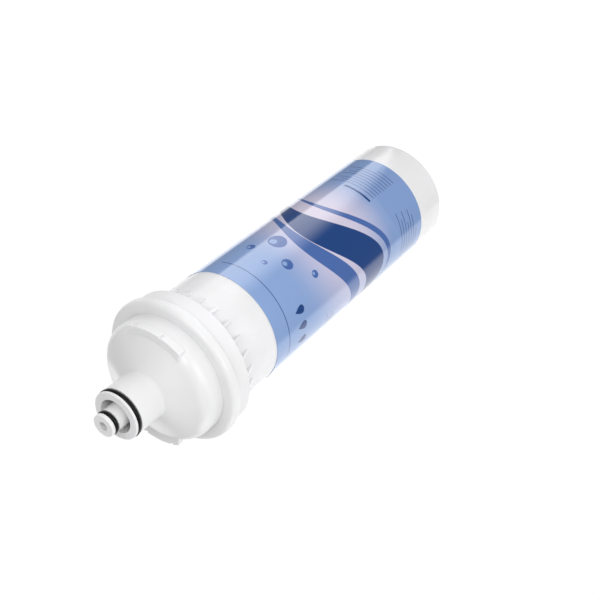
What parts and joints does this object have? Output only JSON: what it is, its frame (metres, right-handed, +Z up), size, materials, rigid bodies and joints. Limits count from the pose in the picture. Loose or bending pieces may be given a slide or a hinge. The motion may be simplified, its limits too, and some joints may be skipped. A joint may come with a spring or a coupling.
{
  "type": "water filter cartridge",
  "caption": "Sealed twist-in water filter cartridge: a drafted, labelled tube with a gusseted collar, and a domed head with bayonet lugs and a stepped, sealed spigot.",
  "frame": {"origin": "centre of the closed end's foot ring, where the cartridge stands", "axes": "+Z up the tube's axis towards the spigot, +X through one bayonet lug"},
  "size_m": [0.0886, 0.0886, 0.279],
  "materials": {
    "sump_plastic": "white moulded polypropylene, semi-gloss",
    "head_plastic": "white moulded polypropylene, semi-gloss",
    "label_film": "glossy printed film in blues",
    "seal_rubber": "black rubber, lightly greased",
    "carbon": "sintered activated carbon",
    "felt": "white needled felt",
    "core_plastic": "natural polypropylene",
    "cap_plastic": "white polypropylene"
  },
  "bodies": {
    "root": {"sump": "sump_plastic", "head_cap": "head_plastic", "label": "label_film", "spigot_o_ring": "seal_rubber", "nose_o_ring": "seal_rubber", "neck_o_ring": "seal_rubber", "carbon_block": "carbon", "prefilter_wrap": "felt", "core_tube": "core_plastic", "top_end_cap": "cap_plastic", "bottom_end_cap": "cap_plastic"}
  },
  "joints": []
}
